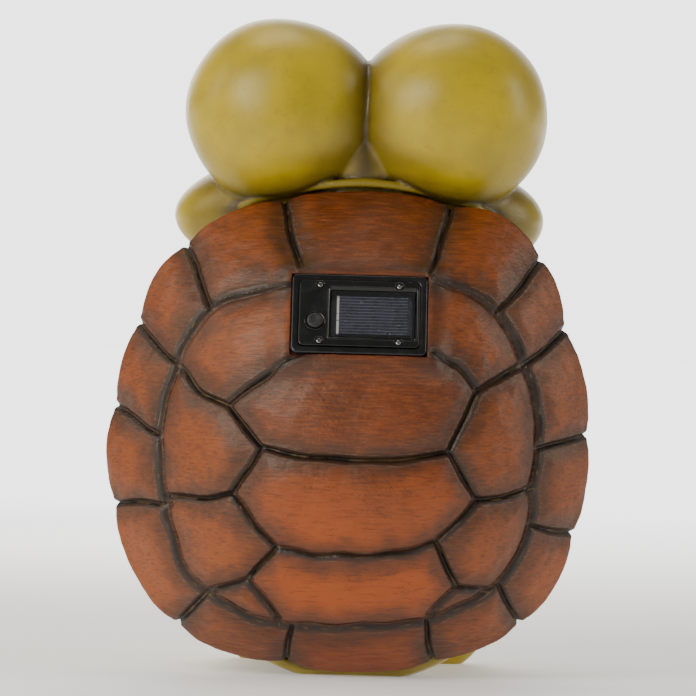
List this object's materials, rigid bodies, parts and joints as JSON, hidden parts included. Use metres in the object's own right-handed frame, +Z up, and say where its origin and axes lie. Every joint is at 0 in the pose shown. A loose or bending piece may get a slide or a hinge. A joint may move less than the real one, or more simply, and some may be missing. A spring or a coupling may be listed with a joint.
{
  "type": "solar garden turtle ornament",
  "caption": "Cast-resin garden turtle sitting upright, with a solar lamp module and push button in its back and lit lenses for eyes.",
  "frame": {"origin": "middle of the footprint, on the ground under the flat base", "axes": "+Z up, the turtle faces -Y, its shell and the solar module are on the +Y side, its left is +X"},
  "size_m": [0.2512, 0.2012, 0.3405],
  "materials": {
    "shell_paint": "orange-brown paint with dark hand-shaded grooves under a clear coat, on cast resin",
    "skin_paint": "olive green paint under a glossy clear coat, on cast resin",
    "belly_paint": "pale straw paint with brown shading, on cast resin",
    "frosted_lens": "milky translucent moulding",
    "pupil_black": "glossy black",
    "white_plastic": "matte white moulding",
    "led_epoxy": "diffused epoxy",
    "wire_insulation": "red insulation",
    "black_plastic": "black moulding, satin",
    "button_rubber": "black elastomer cap, satin",
    "clear_plastic": "clear cover",
    "silicon_cell": "dark blue-grey cell with fine silver lines",
    "nickel_plate": "nickel plated steel",
    "board_laminate": "green solder mask",
    "battery_jacket": "green sleeve over a steel can",
    "rubber_seal": "matte black rubber"
  },
  "bodies": {
    "figure": {"head": "skin_paint", "carapace": "shell_paint", "module_face": "black_plastic", "module_housing": "black_plastic", "body": "belly_paint", "right_leg": "skin_paint", "left_leg": "skin_paint", "right_arm": "skin_paint", "left_arm": "skin_paint", "button_spring": "nickel_plate", "left_eye_lead": "wire_insulation", "right_eye_lead": "wire_insulation", "left_eye_lens": "frosted_lens", "right_eye_lens": "frosted_lens", "negative_contact": "nickel_plate", "housing_gasket": "rubber_seal", "lead_grommet": "rubber_seal", "left_pupil": "pupil_black", "right_pupil": "pupil_black", "battery": "battery_jacket", "face_screw_1": "nickel_plate", "face_screw_2": "nickel_plate", "face_screw_3": "nickel_plate", "face_screw_4": "nickel_plate", "left_led_holder": "white_plastic", "left_led": "led_epoxy", "right_led_holder": "white_plastic", "right_led": "led_epoxy", "cell_window": "clear_plastic", "solar_cell": "silicon_cell", "circuit_board": "board_laminate", "driver_chip": "black_plastic", "switch_body": "black_plastic", "driver_coil": "white_plastic", "cell_lead": "wire_insulation", "positive_contact": "nickel_plate"},
    "button": {"power_button": "button_rubber"}
  },
  "joints": [
    {"name": "button_press", "type": "slide", "parent": "figure", "child": "button", "axis": [0, -0.8829, -0.4695], "range_m": [0, 0.0015], "stiffness_N_per_m": 1000, "deforming": ["button_spring"]}
  ]
}
